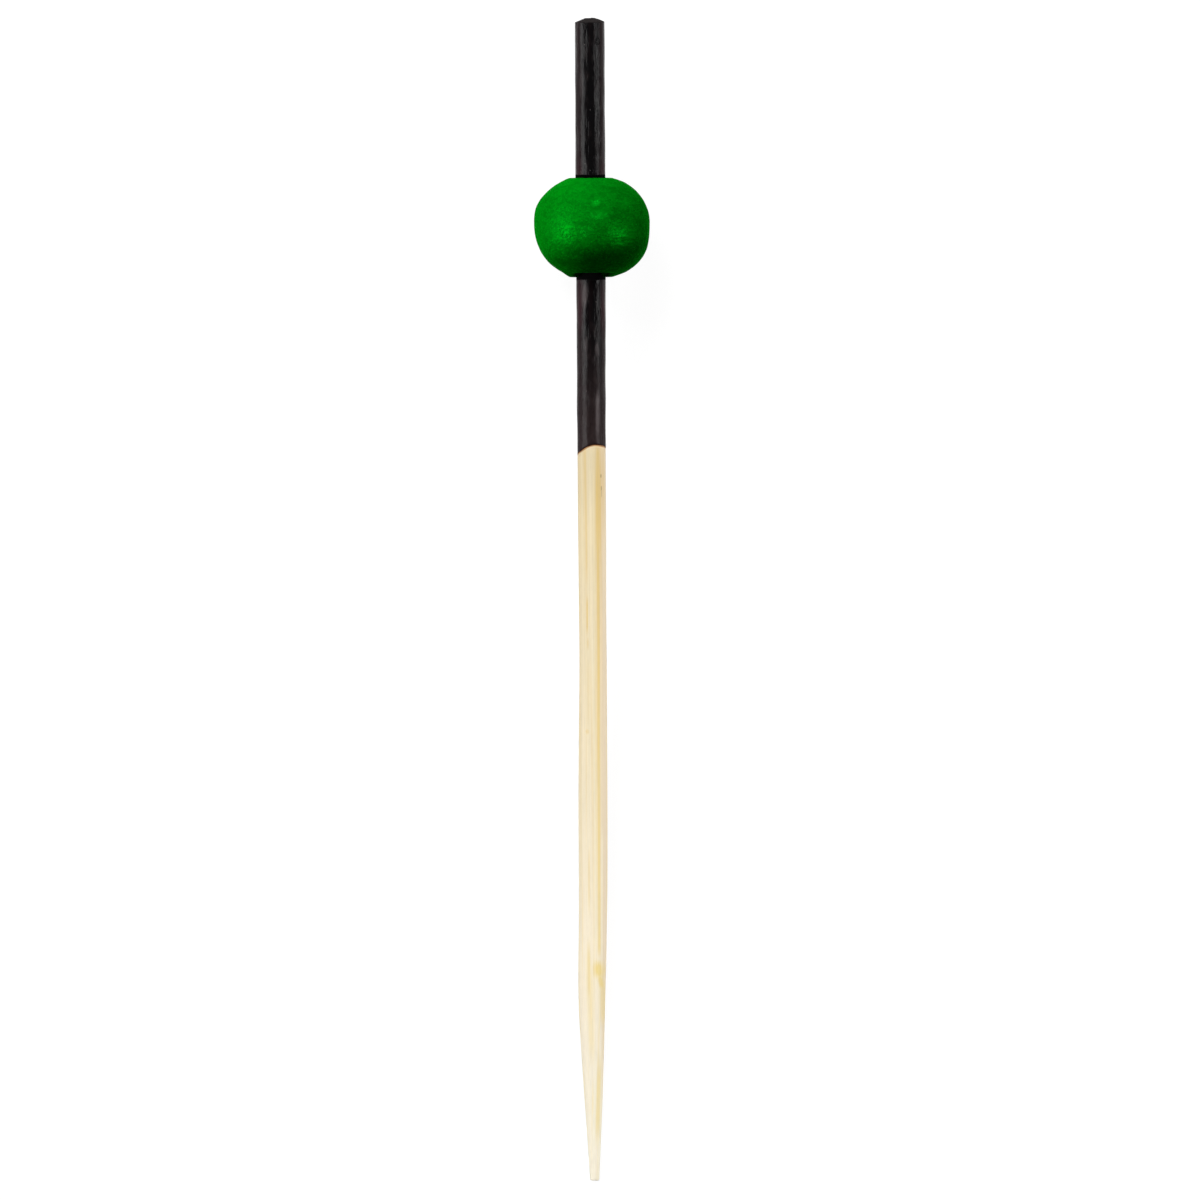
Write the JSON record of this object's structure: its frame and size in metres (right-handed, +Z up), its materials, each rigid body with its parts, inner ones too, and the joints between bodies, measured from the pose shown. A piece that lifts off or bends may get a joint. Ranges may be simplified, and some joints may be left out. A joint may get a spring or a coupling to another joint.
{
  "type": "ball cocktail pick",
  "caption": "Pointed bamboo pick with a black upper end and a green lacquered wooden ball glued on part way down it, for holding garnishes and finger food.",
  "frame": {"origin": "on the surface that the pick lies on, under the middle of its outline", "axes": "+Y along the stick from the point to the cut end, +Z up; lying on its ball and its point, the stick rises 3.18 degrees towards +Y"},
  "size_m": [0.012, 0.1198, 0.0119],
  "materials": {
    "bamboo": "bare split bamboo, sanded round, fibres and golden streaks along the stick",
    "black_coat": "thin satin black coat, uneven along the fibres",
    "ball_wood": "plain turned hardwood under the lacquer",
    "green_lacquer": "glossy green lacquer, slightly lumpy",
    "glue": "dried clear wood glue"
  },
  "bodies": {
    "root": {"bamboo_skewer": "bamboo", "black_coat": "black_coat", "wooden_ball": "ball_wood", "green_lacquer": "green_lacquer", "ball_glue": "glue"}
  },
  "joints": []
}
